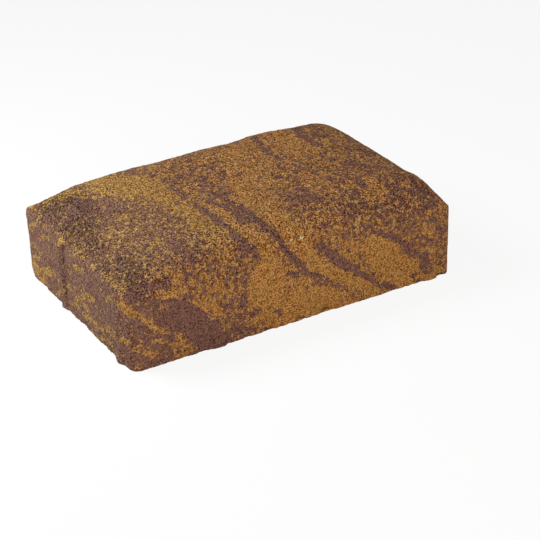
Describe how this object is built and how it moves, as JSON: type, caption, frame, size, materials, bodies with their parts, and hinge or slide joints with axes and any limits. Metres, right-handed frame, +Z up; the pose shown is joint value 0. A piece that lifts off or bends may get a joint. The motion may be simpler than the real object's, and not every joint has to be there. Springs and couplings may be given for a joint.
{
  "type": "concrete cobble paver",
  "caption": "Rectangular concrete cobble paver with a pillowed top, straight sides with small spacer ribs, and a flat bed, in two mottled earth tones.",
  "frame": {"origin": "on the flat bed, under the middle of the block", "axes": "+X along the length, +Y across the width, +Z up from the bed to the pillowed top"},
  "size_m": [0.2136, 0.1436, 0.06],
  "materials": {
    "concrete": "matt moulded concrete, brown with tan streaks through the mix"
  },
  "bodies": {
    "root": {"cobble_paver": "concrete"}
  },
  "joints": []
}
